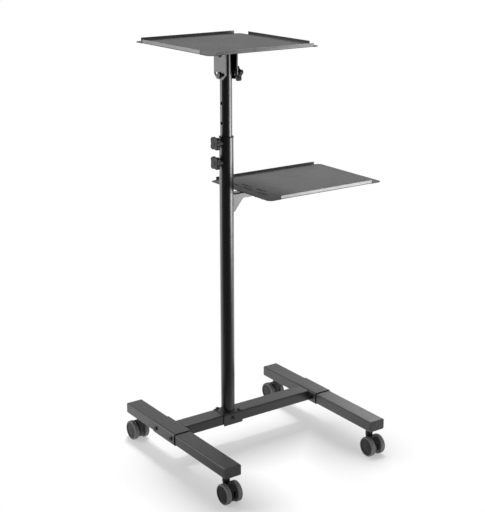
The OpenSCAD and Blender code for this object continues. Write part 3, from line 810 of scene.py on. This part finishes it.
@dataclass
class Studio:
    """The pale floor, the soft lamps and the camera at the photograph's angle.

    The camera's angles are in degrees and its focal length in pixels. Each mirror field
    holds the start and end of a ramp along the view, and the strength of white that a
    reflection sees at both. The members are the legs and the crossbeam as seen from above.
    """

    focal: float = 1196.54
    yaw: float = 34.752
    pitch: float = 16.896
    roll: float = -0.125
    camera_from_base: Point = (-1.78318, -2.51834, 1.49765)
    base_x: float = -0.04875
    sensor_width: float = 36.0
    view_length: float = 60.0
    fill: float = 0.35
    world_mirror: tuple[float, float, float, float] = (-0.5, 0.3, 0.03, 0.4)
    floor_mirror: tuple[float, float, float, float] = (-0.5, 0.08, 0.06, 0.95)
    floor_half: float = 14.0
    floor_drop: float = 0.0002
    floor_glow: float = 0.42
    shadow_reach: float = 0.145
    members: tuple[tuple[Point, Point], ...] = (
        ((-0.299, -0.02, 0.0), (0.03, 0.26, 1.0)),
        ((0.181, -0.02, 0.0), (0.03, 0.26, 1.0)),
        ((-0.059, 0.026, 0.0), (0.21, 0.03, 1.0)))

    def build(self) -> None:
        """Makes the floor, world, lamps and camera."""
        self.world()
        self.floor()
        for softbox in SOFTBOXES:
            softbox.build()
        self.camera()

    def view_axis(self) -> Point:
        """The direction from the camera to the trolley along the floor.

        Returns:
            The direction, of length 1.
        """
        yaw = math.radians(self.yaw)
        return (math.sin(yaw), math.cos(yaw), 0.0)

    def world(self) -> None:
        """White to the camera, with a low even fill.

        Reflections see it pale behind the trolley and dark behind the camera.

        The share of white that a reflection sees follows the part of its direction that
        points away from the camera, along the floor.
        """
        world = bpy.data.worlds.new("studio")
        bpy.context.scene.world = world
        world.use_nodes = True
        tree = world.node_tree
        tree.nodes.clear()
        output = tree.nodes.new("ShaderNodeOutputWorld")
        rays = tree.nodes.new("ShaderNodeLightPath")
        direction = tree.nodes.new("ShaderNodeTexCoord").outputs["Generated"]
        away = tree.nodes.new("ShaderNodeVectorMath")
        away.operation = "DOT_PRODUCT"
        away.inputs[1].default_value = self.view_axis()
        tree.links.new(direction, away.inputs[0])
        ramp = tree.nodes.new("ShaderNodeMapRange")
        names = ("From Min", "From Max", "To Min", "To Max")
        for name, number in zip(names, self.world_mirror):
            ramp.inputs[name].default_value = number
        tree.links.new(away.outputs["Value"], ramp.inputs["Value"])
        shades = []
        for strength in (1.0, 1.0, self.fill):
            shades.append(tree.nodes.new("ShaderNodeBackground"))
            shades[-1].inputs["Color"].default_value = WHITE
            shades[-1].inputs["Strength"].default_value = strength
        seen, mirrored, fill = shades
        tree.links.new(ramp.outputs["Result"], mirrored.inputs["Strength"])
        first = tree.nodes.new("ShaderNodeMixShader")
        tree.links.new(rays.outputs["Is Glossy Ray"], first.inputs[0])
        tree.links.new(fill.outputs[0], first.inputs[1])
        tree.links.new(mirrored.outputs[0], first.inputs[2])
        last = tree.nodes.new("ShaderNodeMixShader")
        tree.links.new(rays.outputs["Is Camera Ray"], last.inputs[0])
        tree.links.new(first.outputs[0], last.inputs[1])
        tree.links.new(seen.outputs[0], last.inputs[2])
        tree.links.new(last.outputs[0], output.inputs["Surface"])

    def floor(self) -> None:
        """A wide white floor that keeps the trolley's shadow and is pure white farther away.

        The share of plain white that the camera sees rises with the distance from the
        legs and the crossbeam. Reflections see it white behind the trolley and dark before it.
        """
        row = np.linspace(-self.floor_half, self.floor_half, 3)
        u, v = np.meshgrid(row, row, indexing="ij")
        grid = np.stack([u, v, np.full_like(u, -self.floor_drop)], axis=-1)
        made = surface("studio_floor", grid, False, False)
        w = Weave("studio_floor_white")
        mottle = w.tones(w.noise(0.6, 2.0), [(0.3, (0.93, 0.93, 0.93)), (0.7, (0.95, 0.95, 0.95))])
        w.link(mottle, w.shader, "Base Color")
        w.set(Roughness=0.8, Specular_IOR_Level=0.0)
        rays = w.tree.nodes.new("ShaderNodeLightPath")
        near = [self.distance(w, centre, half) for centre, half in self.members]
        nearest = w.reckon("MINIMUM", w.reckon("MINIMUM", near[0], near[1]), near[2])
        share = w.spread(nearest, self.floor_glow, 1.0, 0.0, self.shadow_reach)
        away = w.tree.nodes.new("ShaderNodeVectorMath")
        away.operation = "DOT_PRODUCT"
        away.inputs[1].default_value = self.view_axis()
        w.tree.links.new(w.coordinates, away.inputs[0])
        start, end, dim, bright = self.floor_mirror
        mirrored = w.spread(away.outputs["Value"], dim, bright, start, end)
        seen = w.reckon("MULTIPLY", rays.outputs["Is Camera Ray"], share)
        last = w.shader.outputs["BSDF"]
        for strength, factor in ((None, seen), (mirrored, rays.outputs["Is Glossy Ray"])):
            glow = w.tree.nodes.new("ShaderNodeEmission")
            glow.inputs["Color"].default_value = WHITE
            if strength is not None:
                w.link(strength, glow, "Strength")
            mix = w.tree.nodes.new("ShaderNodeMixShader")
            w.tree.links.new(factor, mix.inputs[0])
            w.tree.links.new(last, mix.inputs[1])
            w.tree.links.new(glow.outputs[0], mix.inputs[2])
            last = mix.outputs[0]
        w.tree.links.new(last, w.output.inputs["Surface"])
        dress(made, w.material)

    def distance(self, w: Weave, centre: Point, half: Point) -> Socket:
        """The distance on the floor from a rectangle, which is zero inside it.

        Args:
            w: the node tree to add to.
            centre: the middle of the rectangle.
            half: half its width and depth, with a large third number.

        Returns:
            The socket with the distance in metres.
        """
        value = w.placed(centre)
        steps = (("ABSOLUTE", None), ("SUBTRACT", half),
                 ("MAXIMUM", (0.0, 0.0, 0.0)), ("LENGTH", None))
        for operation, vector in steps:
            node = w.tree.nodes.new("ShaderNodeVectorMath")
            node.operation = operation
            w.tree.links.new(value, node.inputs[0])
            if vector is not None:
                node.inputs[1].default_value = vector
            value = node.outputs["Value" if operation == "LENGTH" else "Vector"]
        return value

    def camera(self) -> None:
        """Places the camera where the photograph's lines meet, with its focal length."""
        data = bpy.data.cameras.new("photo_camera")
        data.sensor_width = self.sensor_width
        data.lens = self.focal / max(IMAGE_SIZE) * data.sensor_width
        data.clip_end = self.view_length
        made = bpy.data.objects.new("photo_camera", data)
        yaw, pitch, roll = (math.radians(a) for a in (self.yaw, self.pitch, self.roll))
        ahead = np.array([math.sin(yaw) * math.cos(pitch), math.cos(yaw) * math.cos(pitch),
                          -math.sin(pitch)])
        right = np.array([math.cos(yaw), -math.sin(yaw), 0.0])
        up = np.cross(right, ahead)
        turned_right = right * math.cos(roll) + up * math.sin(roll)
        turned_up = -right * math.sin(roll) + up * math.cos(roll)
        x, y, z = self.camera_from_base
        place = np.eye(4)
        place[:3, 0], place[:3, 1], place[:3, 2] = turned_right, turned_up, -ahead
        place[:3, 3] = (x + self.base_x, y, z)
        made.matrix_world = Matrix(place.tolist())
        bpy.context.scene.collection.objects.link(made)
        bpy.context.scene.camera = made


def main() -> None:
    """Builds the sub-assemblies in order."""
    logging.basicConfig(level=logging.INFO, format="%(name)s %(message)s")
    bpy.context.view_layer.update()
    bpy.context.scene.view_settings.view_transform = "Standard"
    shop = Workshop()
    Base(shop).build()
    Mast(shop).build()
    Trays(shop).build()
    for place in ("front_left", "front_right", "rear_left", "rear_right"):
        Caster(shop, place).build()
    Studio().build()


if __name__ == "__main__":
    main()
